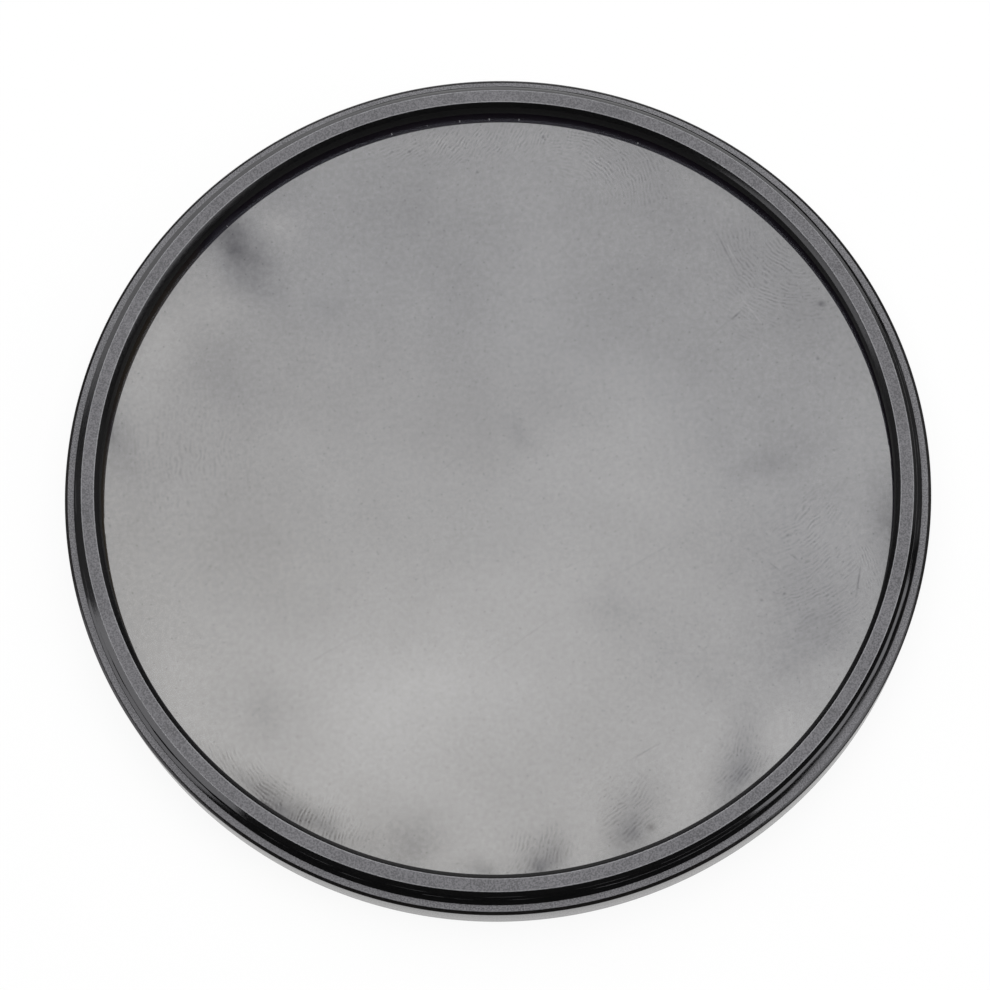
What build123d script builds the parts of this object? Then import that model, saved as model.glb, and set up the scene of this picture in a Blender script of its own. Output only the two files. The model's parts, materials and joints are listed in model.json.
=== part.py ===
from build123d import *
import os

os.makedirs("parts", exist_ok=True)

# A plain screw-in lens filter, in millimetres. It lies front rim down on z = 0, and +Z points to the lens.

# Screw thread of the filter size, 77 x 0.75, drawn plain: crests outside, minor diameter inside
thread_major_radius = 38.5
thread_pitch = 0.75
internal_depth_per_pitch = 0.5413
external_depth_per_pitch = 0.6134

# Walls and steps of the ring, from the thread inwards and outwards
rim_wall = 1.18
retaining_step = 0.5
seat_step = 0.3
seat_width = 0.9

# Heights, stacked from the front rim to the rear face
front_thread_depth = 1.77
retaining_thickness = 0.95
glass_thickness = 1.6
lip_thickness = 1.82

# Male collar, from the shoulder to the rear face
relief_flank = 0.61
relief_land = 0.1
relief_undercut = 0.04
foot_width = 0.32
thread_length = 0.6
lead_in_drop = 0.5
lead_in_width = 0.56

# Broken edges of the ring
rim_chamfer_width = 0.24
rim_chamfer_drop = 0.18
front_edge_chamfer = 0.15
aperture_chamfer = 0.45
front_lead_in = 0.4

# Glass and retaining ring
glass_clearance = 0.1
glass_bevel = 0.15
clamp_gap = 0.1
retaining_clearance = 0.05
retaining_width = 1.2
retaining_bevel = 0.15
spanner_slot_width = 1.6
spanner_slot_floor = 0.45

# Radii worked out from the thread
outer_radius = thread_major_radius + rim_wall
front_bore_radius = thread_major_radius - internal_depth_per_pitch * thread_pitch
relief_radius = thread_major_radius - external_depth_per_pitch * thread_pitch - relief_undercut
retaining_bore_radius = front_bore_radius - retaining_step
seat_radius = retaining_bore_radius - seat_step
glass_radius = seat_radius - glass_clearance
aperture_radius = glass_radius - seat_width
retaining_outer_radius = retaining_bore_radius - retaining_clearance
retaining_inner_radius = retaining_outer_radius - retaining_width

# Levels worked out from the stack
glass_front = front_thread_depth + retaining_thickness
seat_level = glass_front + glass_thickness
rear_level = seat_level + lip_thickness
thread_end = rear_level - lead_in_drop - thread_length
shoulder_level = thread_end - relief_land - relief_flank
step_level = glass_front + clamp_gap

# Filter ring, one turned piece: its half section, outside first, then the front bore, the seat and the lip
with BuildPart() as filter_ring:
    with BuildSketch(Plane.XZ) as ring_section:
        with BuildLine():
            Polyline(
                (aperture_radius + aperture_chamfer, rear_level),
                (thread_major_radius - lead_in_width, rear_level),
                (thread_major_radius, rear_level - lead_in_drop),
                (thread_major_radius, thread_end),
                (relief_radius, thread_end),
                (relief_radius, thread_end - relief_land),
                (thread_major_radius + foot_width, shoulder_level),
                (outer_radius - rim_chamfer_width, shoulder_level),
                (outer_radius, shoulder_level - rim_chamfer_drop),
                (outer_radius, front_edge_chamfer),
                (outer_radius - front_edge_chamfer, 0),
                (front_bore_radius + front_lead_in, 0),
                (front_bore_radius, front_lead_in),
                (front_bore_radius, front_thread_depth),
                (retaining_bore_radius, front_thread_depth),
                (retaining_bore_radius, step_level),
                (seat_radius, step_level),
                (seat_radius, seat_level),
                (aperture_radius, seat_level),
                (aperture_radius, rear_level - aperture_chamfer),
                close=True,
            )
        make_face()
    revolve(axis=Axis.Z)
filter_ring.part.label = "filter_ring"
export_step(filter_ring.part, "parts/filter_ring.step")

# Glass, a flat round plate with ground edges, against the lip
with BuildPart() as glass:
    with BuildSketch(Plane.XY.offset(glass_front)):
        Circle(glass_radius)
    extrude(amount=glass_thickness)
    chamfer(glass.edges().filter_by(GeomType.CIRCLE), length=glass_bevel)
glass.part.label = "glass"
export_step(glass.part, "parts/glass.step")

# Retaining ring, against the front of the glass, with two slots for a pin spanner
with BuildPart() as retaining_ring:
    with BuildSketch(Plane.XZ) as retaining_section:
        with BuildLine():
            Polyline(
                (retaining_outer_radius, front_thread_depth),
                (retaining_outer_radius, glass_front),
                (retaining_inner_radius, glass_front),
                (retaining_inner_radius, front_thread_depth + retaining_bevel),
                (retaining_inner_radius + retaining_bevel, front_thread_depth),
                close=True,
            )
        make_face()
    revolve(axis=Axis.Z)
    with BuildSketch(Plane.XY.offset(front_thread_depth)):
        with PolarLocations((retaining_inner_radius + retaining_outer_radius) / 2, 2):
            Rectangle(2 * retaining_width, spanner_slot_width)
    extrude(amount=retaining_thickness - spanner_slot_floor, mode=Mode.SUBTRACT)
retaining_ring.part.label = "retaining_ring"
export_step(retaining_ring.part, "parts/retaining_ring.step")
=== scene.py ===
import bpy
import bmesh
import json
import math
from mathutils import Matrix, Vector


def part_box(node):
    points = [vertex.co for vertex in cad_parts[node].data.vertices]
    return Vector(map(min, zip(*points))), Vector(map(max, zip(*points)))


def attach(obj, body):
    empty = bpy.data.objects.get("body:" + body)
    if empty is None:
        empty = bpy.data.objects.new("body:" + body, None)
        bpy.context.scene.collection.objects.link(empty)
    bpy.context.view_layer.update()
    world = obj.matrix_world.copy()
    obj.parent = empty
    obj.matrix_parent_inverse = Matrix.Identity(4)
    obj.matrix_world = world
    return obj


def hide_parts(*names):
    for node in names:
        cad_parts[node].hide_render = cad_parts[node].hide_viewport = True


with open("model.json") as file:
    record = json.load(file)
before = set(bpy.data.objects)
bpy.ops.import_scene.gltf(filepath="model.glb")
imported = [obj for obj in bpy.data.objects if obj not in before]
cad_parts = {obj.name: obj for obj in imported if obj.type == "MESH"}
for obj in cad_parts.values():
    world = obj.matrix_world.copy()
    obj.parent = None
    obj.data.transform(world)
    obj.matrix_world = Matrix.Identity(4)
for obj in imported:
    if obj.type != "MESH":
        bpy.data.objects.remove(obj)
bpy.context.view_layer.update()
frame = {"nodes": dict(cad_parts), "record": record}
print("frame loaded:", ", ".join(sorted(frame["nodes"])))

mm = 0.001  # the frame is in metres, the sizes below are in millimetres
fullTurn = 2 * math.pi
mounts = {mount["name"]: mount for mount in frame["record"]["mounts"]}
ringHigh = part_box("filter_ring")[1] / mm
glassLow, glassHigh = [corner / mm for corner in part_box("glass")]
clampLow, clampHigh = [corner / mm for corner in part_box("retaining_ring")]


# Small helpers for node materials: a value is either a constant or another node's output

def feed(tree, socket, value):
    if isinstance(value, bpy.types.NodeSocket):
        tree.links.new(value, socket)
    elif socket.type == "RGBA":
        socket.default_value = (*value, 1)  # colours are given as red, green and blue
    else:
        socket.default_value = value


def feedAll(tree, node, inputs):
    for key, value in inputs.items():
        feed(tree, node.inputs[key], value)


def addNode(tree, kind, inputs, **settings):
    made = tree.nodes.new("ShaderNode" + kind)
    for key, value in settings.items():
        setattr(made, key, value)
    feedAll(tree, made, inputs)
    return made


def calc(tree, operation, *values, clamp=False):
    return addNode(tree, "Math", dict(enumerate(values)), operation=operation, use_clamp=clamp).outputs[0]


def addShare(tree, total, value, share):
    return calc(tree, "MULTIPLY_ADD", value, share, total)


def vectorCalc(tree, operation, *values, output="Vector"):
    return addNode(tree, "VectorMath", dict(enumerate(values)), operation=operation).outputs[output]


def remap(tree, value, low, high, newLow, newHigh):
    spread = {"Value": value, "From Min": low, "From Max": high, "To Min": newLow, "To Max": newHigh}
    return addNode(tree, "MapRange", spread).outputs["Result"]


def noise(tree, where, size, detail=2.0, roughness=0.5, flat=False, output="Fac"):
    look = {"Vector": where, "Scale": 1 / size, "Detail": detail, "Roughness": roughness}
    return addNode(tree, "TexNoise", look, noise_dimensions="2D" if flat else "3D").outputs[output]


def fromNoise(tree, value, newLow, newHigh, reach=0.2):
    # noise keeps near one half, so only what lies within reach of it is spread over the new range
    return remap(tree, value, 0.5 - reach, 0.5 + reach, newLow, newHigh)


def blendColours(tree, share, first, second):
    both = {"Factor": share, "A": first, "B": second}
    return addNode(tree, "Mix", both, data_type="RGBA").outputs["Result"]


def flatRadius(tree, where):
    # the place with its level left out, and its distance from the axis
    flat = vectorCalc(tree, "MULTIPLY", where, (1, 1, 0))
    return flat, vectorCalc(tree, "LENGTH", flat, output="Value")


def newFinish(name):
    finish = bpy.data.materials.new(name)
    finish.use_nodes = True
    tree = finish.node_tree
    shader = tree.nodes["Principled BSDF"]
    place = addNode(tree, "TexCoord", {}).outputs["Object"]
    inMm = vectorCalc(tree, "MULTIPLY", place, (1 / mm,) * 3)
    return finish, tree, shader, inMm


# Black anodised metal: a very dark surface under a clear oxide skin, so much of its grey is gloss.
# Grain and tool lines (0 for none) are given by their size, the bump by its height, gloss as a share.

anodising = {
    "blastedBlack": {  # rear face and front rim
        "dark": (0.0, 0.0, 0.0), "light": (0.105, 0.103, 0.110), "contrast": 0.08,
        "grain": 0.135, "lines": 0.0, "bump": 0.023, "roughness": (0.32, 0.48), "gloss": 1.0,
    },
    "shoulderBlackPaintedLighter": {  # shoulder round the male thread: the rear face's blasted finish with a lighter colour, painted light to make up for the light the collar beside it blocks
        "dark": (0.0, 0.0, 0.0), "light": (0.146, 0.144, 0.152), "contrast": 0.08,
        "grain": 0.135, "lines": 0.0, "bump": 0.023, "roughness": (0.32, 0.48), "gloss": 1.0,
    },
    "threadBlack": {  # threads and inner steps
        "dark": (0.001, 0.001, 0.001), "light": (0.005, 0.005, 0.005), "contrast": 0.2,
        "grain": 0.2, "lines": 0.06, "bump": 0.001, "roughness": (0.07, 0.12), "gloss": 0.85,
    },
    "chamferBlack": {  # chamfer of the opening
        "dark": (0.001, 0.001, 0.001), "light": (0.006, 0.006, 0.006), "contrast": 0.2,
        "grain": 0.2, "lines": 0.06, "bump": 0.002, "roughness": (0.16, 0.24), "gloss": 0.65,
    },
    "edgeBlack": {  # outer edges
        "dark": (0.001, 0.001, 0.001), "light": (0.011, 0.010, 0.009), "contrast": 0.2,
        "grain": 0.16, "lines": 0.06, "bump": 0.002, "roughness": (0.16, 0.23), "gloss": 0.8,
    },
    "edgePaintedHighlight": {  # thin light line along both edges of the rear face, a painted highlight where the rounded edges would catch the lamps
        "dark": (0.10, 0.10, 0.105), "light": (0.24, 0.24, 0.25), "contrast": 0.15,
        "grain": 0.16, "lines": 0.0, "bump": 0.004, "roughness": (0.30, 0.40), "gloss": 1.0,
    },
    "satinBlack": {  # side wall
        "dark": (0.033, 0.029, 0.025), "light": (0.069, 0.064, 0.058), "contrast": 0.2,
        "grain": 0.16, "lines": 0.05, "bump": 0.002, "roughness": (0.20, 0.28), "gloss": 0.7,
    },
    "boreBlack": {  # inner wall, and the retaining ring
        "dark": (0.0, 0.0, 0.0), "light": (0.008, 0.008, 0.008), "contrast": 0.2,
        "grain": 0.2, "lines": 0.12, "bump": 0.004, "roughness": (0.55, 0.70), "gloss": 0.09,
    },
    "driftSize": 4.0,        # a slow change of tone round the ring
    "driftShare": 0.2,
    "oxideIndex": 1.7,
    "fullGloss": 0.5,        # the shader's level for the index as it is
    "gleam": (0.96, 0.95, 1.0),
}


def anodised(name):
    look = anodising[name]
    finish, tree, shader, inMm = newFinish(name)
    grain = noise(tree, inMm, look["grain"], roughness=0.6)
    drift = noise(tree, inMm, anodising["driftSize"])
    driftShare = anodising["driftShare"]
    tone = fromNoise(tree, grain, 0.0, 1 - driftShare, reach=look["contrast"])
    tone = calc(tree, "ADD", tone, fromNoise(tree, drift, 0.0, driftShare))
    height = grain
    if look["lines"]:
        # tool lines run round the axis, so they depend on the radius and the level only
        radius = flatRadius(tree, inMm)[1]
        level = addNode(tree, "SeparateXYZ", {0: inMm}).outputs["Z"]
        section = addNode(tree, "CombineXYZ", {"X": radius, "Y": level}).outputs[0]
        height = calc(tree, "ADD", noise(tree, section, look["lines"], detail=1.0), grain)
    bump = addNode(tree, "Bump", {"Strength": 1.0, "Distance": look["bump"] * mm, "Height": height})
    feedAll(tree, shader, {
        "Base Color": blendColours(tree, tone, look["dark"], look["light"]),
        "Roughness": fromNoise(tree, grain, *look["roughness"]),
        "Normal": bump.outputs["Normal"],
        "IOR": anodising["oxideIndex"],
        "Specular IOR Level": anodising["fullGloss"] * look["gloss"],
        "Specular Tint": anodising["gleam"],
    })
    return finish


# Turned pieces: a section of rows (radius, level, finish, thread) is swept round the axis

turning = {
    "bendSteps": (0.0, 0.25, 0.5, 0.75, 1.0),
    "bendShare": 0.3,        # the most that a bend takes of the shorter edge beside it
    "mergeDistance": 1e-8,   # in metres
    "sharpAngle": 32,        # in degrees
}


def softCorner(before, corner, after, softness):
    # a short bend instead of a sharp corner
    corner = Vector(corner)
    back = Vector(before) - corner
    ahead = Vector(after) - corner
    reach = min(softness, turning["bendShare"] * min(back.length, ahead.length))
    start = corner + back.normalized() * reach
    end = corner + ahead.normalized() * reach
    bend = []
    for t in turning["bendSteps"]:
        bend.append(start * (1 - t) ** 2 + corner * 2 * t * (1 - t) + end * t ** 2)
    return bend


def sectionRows(corners, softness, threadRow=None):
    bends = []
    for k, corner in enumerate(corners):
        before, after = corners[k - 1], corners[(k + 1) % len(corners)]
        bends.append(softCorner(before[:2], corner[:2], after[:2], softness))
    rows = []
    for k, (_, _, finish, thread, *edgeFinish) in enumerate(corners):
        # a bend has a finish of its own, or shares those of the two bands that it joins
        lastFinish = corners[k - 1][2]
        half, last = len(bends[k]) // 2, len(bends[k]) - 1
        for step, point in enumerate(bends[k]):
            bendFinish = lastFinish if step < half else finish
            if edgeFinish and step < last:
                bendFinish = edgeFinish[0]
            rows.append((point.x, point.y, bendFinish, thread))
        if thread:  # fine rows where a thread is cut
            start, end = bends[k][-1], bends[(k + 1) % len(corners)][0]
            count = math.ceil((end - start).length / threadRow)
            for step in range(1, count):
                point = start.lerp(end, step / count)
                rows.append((point.x, point.y, finish, thread))
    return rows


def evenColumns(count):
    # angles round the axis, none of them with a lowest level
    return [(fullTurn * k / count, None) for k in range(count)]


def turnPiece(name, rows, columns, finishes, closed=True):
    points, faces, faceFinish = [], [], []
    for radius, level, _, thread in rows:
        for angle, lowest in columns:
            r = thread(angle, radius, level) if thread else radius
            z = level if lowest is None else max(level, lowest)
            points.append((r * math.cos(angle) * mm, r * math.sin(angle) * mm, z * mm))
    width = len(columns)
    for k in range(len(rows) if closed else len(rows) - 1):
        thisRow, nextRow = k * width, (k + 1) % len(rows) * width
        for here in range(width):
            beside = (here + 1) % width
            faces.append((thisRow + here, nextRow + here, nextRow + beside, thisRow + beside))
            faceFinish.append(rows[k][2])
    mesh = bpy.data.meshes.new(name)
    mesh.from_pydata(points, [], faces)
    mesh.polygons.foreach_set("material_index", faceFinish)
    form = bmesh.new()
    form.from_mesh(mesh)
    bmesh.ops.remove_doubles(form, verts=form.verts, dist=turning["mergeDistance"])
    bmesh.ops.dissolve_degenerate(form, edges=form.edges, dist=turning["mergeDistance"])
    form.to_mesh(mesh)
    form.free()
    mesh.polygons.foreach_set("use_smooth", [True] * len(mesh.polygons))
    mesh.set_sharp_from_angle(angle=math.radians(turning["sharpAngle"]))
    piece = bpy.data.objects.new(name, mesh)
    bpy.context.scene.collection.objects.link(piece)
    for finish in finishes:
        mesh.materials.append(finish)
    print(name, "has", len(mesh.polygons), "faces")
    return piece


# Filter ring: rear face, male thread, shoulder, side wall, front rim with its female thread, seat and lip

filterRing = {
    "columns": 360,
    "edgeSoftness": 0.05,
    "threadRow": 0.024,
    "pitch": 0.75,
    "flankAngle": 60,        # degrees between a thread's flank and the axis
    "maleDepth": 0.44,
    "maleCrest": 0.11,
    "maleStart": 0.32,       # where the male thread starts, in turns
    "maleRunOut": (0.28, 0.50),  # none above the first and full below the second, from the rear face down
    "femaleDepth": 0.406,
    "femaleCrest": 0.188,
    "femaleStart": 0.3,
    "leadInWidth": 0.62,
    "reliefDepth": 0.5,
    "reliefLand": 0.1,
    "footWidth": 0.32,
    "rimChamfer": (0.29, 0.19),  # across and down
    "frontEdge": 0.15,
    "frontLeadIn": 0.4,
    "apertureChamfer": 0.45,
    "seatWidth": 0.9,
    "glassClearance": 0.1,
    "clampClearance": 0.05,
    "clampGap": 0.1,
}


def makeFilterRing():
    size = filterRing
    pitch = size["pitch"]
    flank = math.tan(math.radians(size["flankAngle"]))
    maleCrest = mounts["lens_thread"]["dims"]["r_mm"]
    femaleCrest = mounts["front_thread"]["dims"]["r_mm"]
    threadMiddle = mounts["lens_thread"]["pos_m"][2] / mm
    threadHalf = mounts["lens_thread"]["dims"]["length_mm"] / 2
    threadTop, threadEnd = threadMiddle + threadHalf, threadMiddle - threadHalf
    shoulder = mounts["lens_shoulder"]["pos_m"][2] / mm
    outside, rear = ringHigh.x, ringHigh.z
    aperture = glassHigh.x - size["seatWidth"]
    seat = glassHigh.x + size["glassClearance"]
    clampBore = clampHigh.x + size["clampClearance"]
    clampStep = glassLow.z + size["clampGap"]
    relief = maleCrest - size["reliefDepth"]
    rimAcross, rimDown = size["rimChamfer"]

    def threadDip(angle, level, start, crest, depth):
        # how far the cutter goes in, along a right-handed helix
        turn = level / pitch - angle / fullTurn + start
        fromCrest = abs(turn % 1.0 - 0.5) * pitch
        return min(max((fromCrest - crest / 2) * flank, 0.0), depth)

    def maleThread(angle, radius, level):
        dip = threadDip(angle, level, size["maleStart"], size["maleCrest"], size["maleDepth"])
        none, full = size["maleRunOut"]
        run = min(max((rear - level - none) / (full - none), 0.0), 1.0)
        return min(radius, maleCrest - dip) * run + radius * (1 - run)

    def femaleThread(angle, radius, level):
        dip = threadDip(angle, level, size["femaleStart"], size["femaleCrest"], size["femaleDepth"])
        return max(radius, femaleCrest + dip)

    names = ("blastedBlack", "threadBlack", "chamferBlack", "edgeBlack", "satinBlack", "boreBlack",
             "shoulderBlackPaintedLighter", "edgePaintedHighlight")
    blasted, turned, chamfer, edge, satin, bore, litLedge, edgeHighlight = range(len(names))
    corners = [  # the finish is that of the band up to the next corner, a fifth item that of the bend
        # both edges of the rear face bend in the painted highlight
        (aperture + size["apertureChamfer"], rear, blasted, None, edgeHighlight),
        (maleCrest - size["leadInWidth"], rear, turned, maleThread, edgeHighlight),
        (maleCrest, threadTop, turned, maleThread),
        (maleCrest, threadEnd, turned, None),
        (relief, threadEnd, turned, None),
        (relief, threadEnd - size["reliefLand"], turned, None),
        # the shoulder takes the lighter copy of the blasted finish, painted light
        (maleCrest + size["footWidth"], shoulder, litLedge, None),
        (outside - rimAcross, shoulder, edge, None),
        (outside, shoulder - rimDown, satin, None),
        (outside, size["frontEdge"], edge, None),
        (outside - size["frontEdge"], 0, blasted, None),
        (femaleCrest + size["frontLeadIn"], 0, turned, femaleThread),
        (femaleCrest, size["frontLeadIn"], turned, femaleThread),
        (femaleCrest, clampLow.z, turned, None),
        (clampBore, clampLow.z, turned, None),
        (clampBore, clampStep, turned, None),
        (seat, clampStep, turned, None),
        (seat, glassHigh.z, turned, None),
        (aperture, glassHigh.z, bore, None),
        (aperture, rear - size["apertureChamfer"], chamfer, None),
    ]
    rows = sectionRows(corners, size["edgeSoftness"], size["threadRow"])
    finishes = [anodised(name) for name in names]
    ring = turnPiece("filterRing", rows, evenColumns(size["columns"]), finishes)
    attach(ring, "root")
    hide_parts("filter_ring")


makeFilterRing()


# Retaining ring: screwed in on the front side of the glass, with two slots for a pin spanner

retainingRing = {
    "columns": 360,
    "edgeSoftness": 0.03,
    "width": 1.2,
    "bevel": 0.15,
    "slotWidth": 1.6,
    "slotDepth": 0.5,
    "slotMargin": 1.3,       # even columns nearer than this, in half slots, are left out
    "wallLean": 1e-7,        # angle between a slot wall's top and bottom, in radians
}


def makeRetainingRing():
    size = retainingRing
    outer, front, back = clampHigh.x, clampLow.z, clampHigh.z
    inner = outer - size["width"]
    slotHalf = math.asin(size["slotWidth"] / 2 / ((outer + inner) / 2))
    slotFloor = front + size["slotDepth"]
    lean = size["wallLean"]
    columns = []
    for angle, lowest in evenColumns(size["columns"]):
        fromSlot = abs((angle + math.pi / 2) % math.pi - math.pi / 2)  # angle to the nearer slot
        if fromSlot > slotHalf * size["slotMargin"]:
            columns.append((angle, lowest))
    for middle in (0.0, math.pi):
        start, end = middle - slotHalf, middle + slotHalf
        columns += [(start, None), (start + lean, slotFloor), (middle, slotFloor)]
        columns += [(end - lean, slotFloor), (end, None)]
    columns.sort(key=lambda column: column[0])
    matt = 0
    corners = [
        (inner, back, matt, None),
        (outer, back, matt, None),
        (outer, front, matt, None),
        (inner + size["bevel"], front, matt, None),
        (inner, front + size["bevel"], matt, None),
    ]
    rows = sectionRows(corners, size["edgeSoftness"])
    clamp = turnPiece("retainingRing", rows, columns, [bpy.data.materials["boreBlack"]])
    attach(clamp, "root")
    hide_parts("retaining_ring")


makeRetainingRing()


# Glass: a neutral grey plate. Its rear face is fingered and wiped, its front face is clean.
# Losses are shares of the light, and half lengths and half widths are those of a soft oval.

greyGlass = {
    "columns": 240,
    "bevel": 0.15,
    "ringStep": 4.0,
    "airFilm": 0.004,        # keeps the rear face off the lip's underside
    "index": 1.5,
    "frontPass": 0.60,       # share of light that each face lets through
    "rearPass": 0.530,
    "tone": (0.012, 0.009, 0.014),
    "coating": (0.80, 0.86, 1.0),
    "coatingGloss": 0.22,
    "hazeSize": 9.0,
    "hazeDepth": 0.02,
    "roughness": (0.04, 0.35),    # where it is clean and where it is dirtiest
    "dirtSpan": (-0.1, 0.4),      # the losses that count as clean and dirtiest
    "oil": (0.086, 0.071, 0.048),  # the film is browner where it was touched most
    "oilSide": (-0.55, -0.83, 0.0),
    "oilReach": (-15.0, 36.0),    # none and full, along that side's direction
    "oilFade": 1.2,          # thick smears are neutral again
    "cloudSize": 16.0,
    "cloudDepth": 0.08,
    "farSideDarkening": (0.135, 35.0),   # darker towards the far side and lighter towards the near side, by this share of light at this far from the middle
    "grainSize": 0.5,
    "grainDepth": (0.044, 0.060),  # near the middle and near the edge
    "grainRadii": (10.0, 34.0),   # where those two depths are reached
    "patchSize": 1.6,
    "patchShare": 0.10,      # part of the patches in the grain
    "swirlSize": 5.0,
    "warp": 2.4,             # how ragged the edges of the smears are
    "smearBreaks": (0.86, 1.14),  # how unevenly the smears cover
    "wobbleSize": 2.2,
    "wobble": 15.0,          # how unevenly the ridges run
    "ridgePatches": (0.40, 0.62, 0.1, 1.3),  # range of the noise, and the strength of the ridges over it
    "ridgeGrain": (0.38, 0.60, 0.2, 1.3),
    "dotSpacing": 1.9,
    "dotEdge": (0.05, 0.025),     # none and full, as shares of the spacing
    "dotLoss": 0.22,
    "smears": [              # x, y, half length, half width, turn in degrees, loss (below 0: wiped cleaner)
        (-22.3, 25.2, 5.4, 2.2, -60, 0.50),
        (-29.6, 17.4, 6.5, 3.2, 60, -0.20),
        (2.6, 25.7, 25.0, 5.0, 0, 0.08),
        (1.0, 18.5, 14.0, 6.0, 0, 0.06),
        (-10.4, -18.9, 17.0, 8.5, 15, -0.25),
        (13.2, -2.0, 9.0, 9.0, 0, -0.12),
        (4.0, -10.5, 7.0, 5.0, 0, -0.06),
        (28.6, 14.5, 5.5, 8.0, 15, 0.14),
        (28.8, -12.6, 6.5, 7.0, 15, 0.17),
        (24.7, -0.6, 4.5, 1.6, 15, 0.15),
        (26.0, 3.0, 7.0, 20.0, 0, 0.09),
        (20.6, 4.8, 4.0, 5.0, 0, 0.08),
        (16.8, 18.6, 5.0, 4.5, 0, 0.14),
        (24.2, 19.4, 3.0, 3.6, 0, 0.13),
        (17.6, -21.2, 4.0, 3.0, 0, 0.10),
        (24.5, -19.5, 5.5, 4.5, 45, 0.20),
        (14.0, -17.4, 4.0, 3.0, 0, 0.12),
        (9.2, -12.8, 3.0, 2.6, 0, 0.17),
        (-22.6, -19.8, 4.4, 3.2, -45, 0.27),
        (2.3, 4.8, 2.0, 1.1, -45, 0.12),
        (-21.3, 27.2, 1.8, 1.3, 0, 0.24),
        (20.2, 27.6, 2.8, 1.8, -45, -0.10),
        (-18.6, -6.6, 4.0, 3.0, 0, -0.09),
        (-23.2, 11.4, 3.4, 4.5, 30, 0.12),
        (-14.6, 18.8, 4.0, 3.6, 0, 0.12),
        (-30.0, 3.4, 5.5, 5.0, 0, 0.10),
        (-30.4, -14.6, 3.0, 5.5, 15, -0.08),
        (-34.8, 8.2, 1.8, 4.6, 15, 0.34),
        (35.4, -7.6, 1.9, 5.0, 0, 0.38),
        (-24.4, -26.0, 5.0, 1.4, -45, 0.42),
        (-18.1, -30.8, 5.2, 1.8, -30, 0.47),
        (-21.4, -27.8, 3.2, 1.7, -45, 0.46),
        (-10.5, -32.5, 3.2, 3.2, 0, 0.38),
        (-4.4, -35.5, 2.2, 1.2, 0, 0.40),
        (0.8, -35.4, 2.2, 2.7, 0, 0.70),
        (9.3, -33.0, 4.4, 2.3, 75, 0.53),
        (19.1, -29.2, 5.0, 2.2, 75, 0.57),
        (23.8, -26.6, 2.0, 3.0, -45, -0.08),
        (13.6, 31.4, 6.0, 1.6, -30, 0.09),
        (28.2, -16.4, 2.6, 2.2, 0, 0.14),
        (-18.3, 26.8, 2.2, 2.2, 45, -0.20),
        (-24.4, 19.5, 2.4, 2.0, 0, -0.11),
        (24.0, 24.8, 2.6, 1.8, -45, -0.11),
        (-2.6, 33.8, 3.5, 1.3, 0, -0.10),
    ],
    "prints": [              # the same with a strength, then the ridges' middle, x and y, and their spacing
        (27.1, 17.5, 4.6, 5.4, 30, 0.16, 30.9, 22.4, 0.38),
        (28.4, -6.5, 4.0, 3.4, 15, 0.10, 20.1, 4.0, 0.36),
        (28.6, -13.1, 4.4, 4.6, 15, 0.12, 20.1, 4.0, 0.36),
        (33.2, -11.4, 1.2, 2.8, 15, 0.16, 15.1, -15.1, 0.24),
        (-28.2, 5.0, 6.0, 7.0, 0, 0.07, 2.0, 5.5, 0.42),
        (-24.2, -25.4, 4.5, 1.9, -45, 0.27, -12.3, -17.2, 0.36),
        (-18.9, -29.6, 4.2, 2.0, -30, 0.30, -30.4, -24.4, 0.36),
        (0.3, -34.0, 3.0, 1.8, 0, 0.20, -8.9, -30.0, 0.36),
        (9.1, -31.4, 3.0, 2.4, 75, 0.18, 2.9, -23.5, 0.36),
        (19.3, -28.1, 3.4, 2.4, 75, 0.17, 11.1, -22.7, 0.36),
        (13.0, 30.4, 5.8, 3.0, -30, 0.20, 8.1, 26.4, 0.36),
        (0.5, 33.5, 8.5, 1.6, 0, 0.20, -10.9, 42.9, 0.34),
    ],
    "nicks": [               # hairlines and specks: x, y, half length, half width, turn, loss
        (1.6, -14.5, 5.3, 0.07, 30, 0.12),
        (12.7, -8.5, 4.8, 0.07, 25, 0.11),
        (-17.3, -14.7, 3.0, 0.07, 25, 0.12),
        (21.2, 12.3, 2.9, 0.06, 36, 0.11),
        (5.8, -8.5, 3.4, 0.06, 20, 0.10),
        (-4.8, 1.7, 1.5, 0.06, 36, 0.12),
        (10.9, -26.2, 1.3, 0.08, 25, 0.26),
        (23.4, 20.0, 2.9, 0.09, -70, 0.14),
        (23.8, 20.0, 2.9, 0.09, -70, -0.14),
        (25.0, 14.3, 1.9, 0.08, -60, -0.14),
        (23.5, 13.9, 0.5, 0.09, 36, 0.40),
        (31.8, -12.3, 1.3, 0.09, 75, 0.45),
        (24.4, -10.3, 0.6, 0.08, -45, 0.30),
        (26.3, -9.6, 0.6, 0.08, -45, 0.25),
        (31.5, 14.3, 0.42, 0.30, 0, 0.50),
        (30.6, 9.0, 0.16, 0.16, 0, 0.45),
        (25.9, -7.5, 0.14, 0.14, 0, 0.40),
        (25.0, -12.9, 0.16, 0.14, 0, 0.40),
        (22.9, -13.3, 0.13, 0.13, 0, 0.38),
        (10.8, -33.0, 0.42, 0.32, 36, 0.50),
        (-5.3, 33.1, 0.15, 0.15, 0, 0.42),
        (7.4, 33.3, 0.18, 0.15, 0, 0.44),
        (0.9, 30.4, 0.16, 0.16, 0, 0.40),
    ],
    "dustBearings": (63, 71, 81.5, 86, 90.5, 95.5, 101, 108, 130),  # dust along the edge, in degrees
    "dustRadius": 35.7,
    "dustSize": (0.09, 0.05),     # half sizes, outwards and along the edge
    "dustCover": (0.2, 1.0),
    "dustGrey": (0.2, 0.2, 0.2),
}


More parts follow.
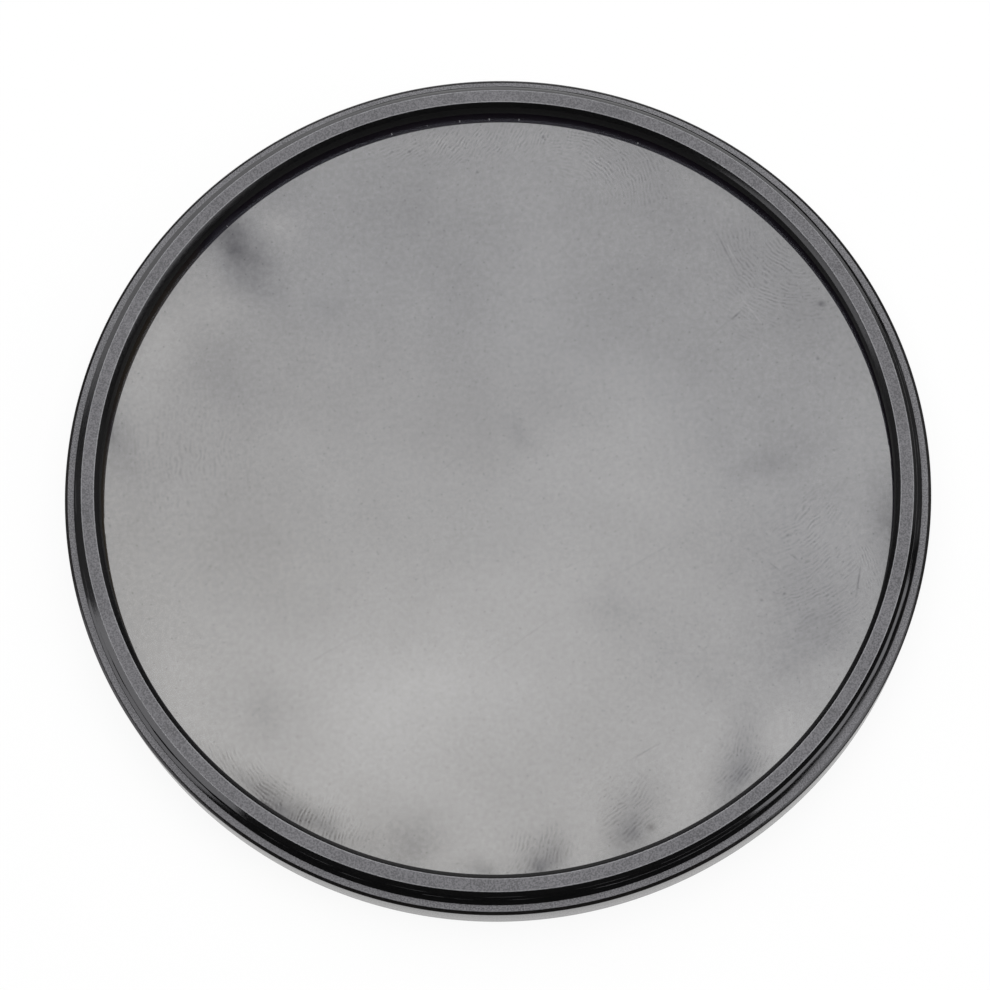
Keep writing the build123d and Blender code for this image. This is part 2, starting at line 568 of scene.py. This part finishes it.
def coatedFace(name):
    look = greyGlass
    finish, tree, shader, inMm = newFinish(name)
    feedAll(tree, shader, {
        "Base Color": look["tone"],
        "Roughness": look["roughness"][0],
        "IOR": look["index"],
        "Specular IOR Level": look["coatingGloss"],
        "Specular Tint": look["coating"],
    })
    return finish, tree, shader, inMm


def cleanFace(name, passShare):
    finish, tree, shader, inMm = coatedFace(name)
    haze = noise(tree, inMm, greyGlass["hazeSize"])
    depth = greyGlass["hazeDepth"]
    clearest, haziest = 1 - depth - passShare, 1 + depth - passShare
    feed(tree, shader.inputs["Alpha"], fromNoise(tree, haze, clearest, haziest, reach=0.3))
    return finish


def turnedView(tree, views, turn):
    # the coordinates turned by an angle, made once for each angle in use
    if turn not in views:
        spin = {"Vector": views[0], "Angle": -math.radians(turn)}
        views[turn] = addNode(tree, "VectorRotate", spin, rotation_type="Z_AXIS").outputs[0]
    return views[turn]


def softOval(tree, views, x, y, halfLength, halfWidth, turn):
    # 1 in the middle, a quarter at the half length and half width, nothing at twice as far
    cosine, sine = math.cos(math.radians(turn)), math.sin(math.radians(turn))
    middle = (x * cosine + y * sine, y * cosine - x * sine)
    shift = (-middle[0] / (2 * halfLength), -middle[1] / (2 * halfWidth), 0)
    scale = (0.5 / halfLength, 0.5 / halfWidth, 0)
    spot = vectorCalc(tree, "MULTIPLY_ADD", turnedView(tree, views, turn), scale, shift)
    return addNode(tree, "TexGradient", {"Vector": spot}, gradient_type="QUADRATIC_SPHERE").outputs["Fac"]


def raggedPlace(tree, flat):
    # coordinates that are pushed about a little, for uneven outlines
    look = greyGlass
    swirl = noise(tree, flat, look["swirlSize"], detail=3.0, flat=True, output="Color")
    swirl = vectorCalc(tree, "SUBTRACT", swirl, (0.5, 0.5, 0.5))
    return vectorCalc(tree, "MULTIPLY_ADD", swirl, (look["warp"], look["warp"], 0), flat)


def filmDirtAndFarSideTone(tree, flat, radius, grain, patches):
    # slow clouds and a fine grain, with the plate darker towards the far side and lighter towards the near
    # side
    look = greyGlass
    cloud = noise(tree, flat, look["cloudSize"], detail=3.0, roughness=0.55, flat=True)
    dirtAndDimming = fromNoise(tree, cloud, -look["cloudDepth"], look["cloudDepth"], reach=0.25)
    sideLoss, away = look["farSideDarkening"]
    sideways = addNode(tree, "SeparateXYZ", {0: flat}).outputs["Y"]
    # the loss grows towards the far side and shrinks towards the near side
    dirtAndDimming = addShare(tree, dirtAndDimming, sideways, sideLoss / away)
    mottle = fromNoise(tree, grain, -1.0, 1.0)
    mottle = addShare(tree, mottle, fromNoise(tree, patches, -1.0, 1.0), look["patchShare"])
    return addShare(tree, dirtAndDimming, mottle, remap(tree, radius, *look["grainRadii"], *look["grainDepth"]))


def printRidges(tree, flat, raggedViews, grain, patches):
    # ridges round a middle of their own in each print, broken up by the grain of the film
    look = greyGlass
    wobble = noise(tree, flat, look["wobbleSize"], flat=True)
    wobble = calc(tree, "MULTIPLY", wobble, look["wobble"])
    ridges = 0.0
    for *shape, strength, middleX, middleY, spacing in look["prints"]:
        away = vectorCalc(tree, "DISTANCE", flat, (middleX, middleY, 0), output="Value")
        ridge = calc(tree, "SINE", addShare(tree, wobble, away, fullTurn / spacing))
        cover = calc(tree, "MULTIPLY", softOval(tree, raggedViews, *shape), strength)
        ridges = addShare(tree, ridges, cover, ridge)
    byPatches = remap(tree, patches, *look["ridgePatches"])
    byGrain = remap(tree, grain, *look["ridgeGrain"])
    return ridges, calc(tree, "MULTIPLY", byPatches, byGrain)


def edgeDust(tree, flat, radius, patches):
    look = greyGlass
    parts = addNode(tree, "SeparateXYZ", {0: flat}).outputs
    bearing = calc(tree, "ARCTAN2", parts["Y"], parts["X"])
    halfOut, halfAlong = look["dustSize"]
    dusty = 0.0
    for angle in look["dustBearings"]:
        speck = calc(tree, "COMPARE", bearing, math.radians(angle), halfAlong / look["dustRadius"])
        dusty = calc(tree, "MAXIMUM", speck, dusty)
    dusty = calc(tree, "MULTIPLY", dusty, calc(tree, "COMPARE", radius, look["dustRadius"], halfOut))
    return calc(tree, "MULTIPLY", dusty, fromNoise(tree, patches, *look["dustCover"], reach=0.1))


def fingeredFace(name, passShare):
    look = greyGlass
    finish, tree, shader, inMm = coatedFace(name)
    flat, radius = flatRadius(tree, inMm)
    grain = noise(tree, flat, look["grainSize"], roughness=0.75, flat=True)
    patches = noise(tree, flat, look["patchSize"], detail=3.0, roughness=0.6, flat=True)
    flatViews = {0: flat}
    raggedViews = {0: raggedPlace(tree, flat)}

    smeared = 0.0
    for *shape, loss in look["smears"]:
        smeared = addShare(tree, smeared, softOval(tree, raggedViews, *shape), loss)
    dirtAndDimming = filmDirtAndFarSideTone(tree, flat, radius, grain, patches)
    dirtAndDimming = addShare(tree, dirtAndDimming, smeared, fromNoise(tree, patches, *look["smearBreaks"]))
    dirtAndDimming = addShare(tree, dirtAndDimming, *printRidges(tree, flat, raggedViews, grain, patches))
    for *shape, loss in look["nicks"]:
        dirtAndDimming = addShare(tree, dirtAndDimming, softOval(tree, flatViews, *shape), loss)
    scatter = {"Vector": flat, "Scale": 1 / look["dotSpacing"]}
    dots = addNode(tree, "TexVoronoi", scatter, voronoi_dimensions="2D").outputs["Distance"]
    dirtAndDimming = calc(tree, "ADD", dirtAndDimming, remap(tree, dots, *look["dotEdge"], 0.0, look["dotLoss"]))
    dusty = edgeDust(tree, flat, radius, patches)

    side = vectorCalc(tree, "DOT_PRODUCT", flat, look["oilSide"], output="Value")
    oily = addShare(tree, remap(tree, side, *look["oilReach"], 0.0, 1.0), smeared, -look["oilFade"])
    film = blendColours(tree, calc(tree, "MAXIMUM", oily, 0.0), look["tone"], look["oil"])
    passed = calc(tree, "MULTIPLY", calc(tree, "SUBTRACT", 1.0, dirtAndDimming), passShare)
    passed = calc(tree, "SUBTRACT", passed, dusty, clamp=True)
    feedAll(tree, shader, {
        "Base Color": blendColours(tree, dusty, film, look["dustGrey"]),
        "Roughness": remap(tree, dirtAndDimming, *look["dirtSpan"], *look["roughness"]),
        "Alpha": calc(tree, "SUBTRACT", 1.0, passed, clamp=True),
    })
    return finish


def makeGlass():
    size = greyGlass
    edge, bevel = glassHigh.x, size["bevel"]
    rear, front = glassHigh.z - size["airFilm"], glassLow.z
    count = math.ceil((edge - bevel) / size["ringStep"])
    radii = [(edge - bevel) * k / count for k in range(count + 1)]
    fingered, clean = range(2)
    rows = [(radius, rear, fingered, None) for radius in radii[:-1]]
    rows += [(radii[-1], rear, clean, None)]
    rows += [(edge, rear - bevel, clean, None), (edge, front + bevel, clean, None)]
    rows += [(radius, front, clean, None) for radius in reversed(radii)]
    finishes = [fingeredFace("fingeredGlass", size["rearPass"]), cleanFace("cleanGlass", size["frontPass"])]
    glass = turnPiece("greyGlass", rows, evenColumns(size["columns"]), finishes, closed=False)
    glass.visible_shadow = False  # the table under it stays evenly lit
    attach(glass, "root")
    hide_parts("glass")


makeGlass()


# Camera: close to straight down on the rear side, a little turned

cameraLook = {
    "lens": 118.28,
    "sensor": 36.0,
    "elevation": 74.307,     # in degrees
    "roll": -5.298,
    "distance": 297.57,
    "target": (-0.252, -1.130, 4.2294),
}


def setCamera():
    look = cameraLook
    data = bpy.data.cameras.new("filterCamera")
    data.lens = look["lens"]
    data.sensor_width = look["sensor"]
    camera = bpy.data.objects.new("filterCamera", data)
    bpy.context.scene.collection.objects.link(camera)
    tilt = math.radians(look["elevation"])
    back = Vector((0, -math.cos(tilt), math.sin(tilt))) * look["distance"]
    place = Matrix.Translation((Vector(look["target"]) + back) * mm)
    lean = Matrix.Rotation(math.pi / 2 - tilt, 4, "X")
    camera.matrix_world = place @ lean @ Matrix.Rotation(math.radians(look["roll"]), 4, "Z")
    bpy.context.scene.camera = camera
    print("camera set")


setCamera()


# Studio: a white table in a dim room, a softbox above and behind, one on each side, and two dim cards

studio = {
    "tableRadius": 2.0,      # in metres, like the softboxes
    "tableSides": 96,
    "tableGlow": 0.90,       # share of plain white in what the eye sees of the table
    "tableWhite": (0.9, 0.9, 0.9),
    "plainWhite": (1, 1, 1),
    "room": (0.04, 0.04, 0.041),
    "softboxes": [           # name, place, width, height, brightness, oval or not
        ("backSoftbox", (0.0, 0.19, 0.57), 1.0, 1.15, 1.95, False),
        ("leftSoftbox", (-0.493, -0.155, 0.122), 0.40, 0.19, 1.8, True),
        ("rightSoftbox", (0.423, -0.184, 0.330), 0.44, 0.305, 2.3, True),
        ("leftCard", (-0.554, 0.159, 0.166), 0.30, 0.29, 0.17, False),
        ("rightCard", (0.554, 0.159, 0.166), 0.30, 0.29, 0.17, False),
    ],
}


def makeTable():
    mesh = bpy.data.meshes.new("whiteTable")
    form = bmesh.new()
    bmesh.ops.create_circle(form, cap_ends=True, radius=studio["tableRadius"], segments=studio["tableSides"])
    form.to_mesh(mesh)
    form.free()
    table = bpy.data.objects.new("whiteTable", mesh)
    bpy.context.scene.collection.objects.link(table)
    finish = bpy.data.materials.new("tableWhite")
    finish.use_nodes = True
    tree = finish.node_tree
    tree.nodes.remove(tree.nodes["Principled BSDF"])
    matt = addNode(tree, "BsdfDiffuse", {"Color": studio["tableWhite"]}).outputs[0]
    glow = addNode(tree, "Emission", {"Color": studio["plainWhite"], "Strength": 1.0}).outputs[0]
    path = addNode(tree, "LightPath", {}).outputs  # it glows for the eye and in a gloss only
    seen = calc(tree, "MAXIMUM", path["Is Camera Ray"], path["Is Glossy Ray"])
    share = calc(tree, "MULTIPLY", seen, studio["tableGlow"])
    mixed = addNode(tree, "MixShader", {0: share, 1: matt, 2: glow}).outputs[0]
    feed(tree, tree.nodes["Material Output"].inputs["Surface"], mixed)
    mesh.materials.append(finish)


def hangSoftbox(name, place, width, height, brightness, isOval):
    data = bpy.data.lights.new(name, "AREA")
    data.shape = "ELLIPSE" if isOval else "RECTANGLE"
    data.size, data.size_y = width, height
    area = width * height * (math.pi / 4 if isOval else 1)
    data.energy = brightness * math.pi * area  # so that brightness is what a mirror would show
    lamp = bpy.data.objects.new(name, data)
    bpy.context.scene.collection.objects.link(lamp)
    lamp.location = place
    lamp.rotation_euler = (-Vector(place)).to_track_quat("-Z", "Y").to_euler()


def dimRoom():
    world = bpy.data.worlds.new("dimRoom")
    bpy.context.scene.world = world
    world.use_nodes = True
    tree = world.node_tree
    seen = addNode(tree, "LightPath", {}).outputs["Is Camera Ray"]  # white to the eye, dim as a light
    backdrop = blendColours(tree, seen, studio["room"], studio["plainWhite"])
    feed(tree, tree.nodes["Background"].inputs["Color"], backdrop)


makeTable()
for softbox in studio["softboxes"]:
    hangSoftbox(*softbox)
dimRoom()
bpy.context.scene.view_settings.view_transform = "Standard"
print("studio ready")

print("scene finished")
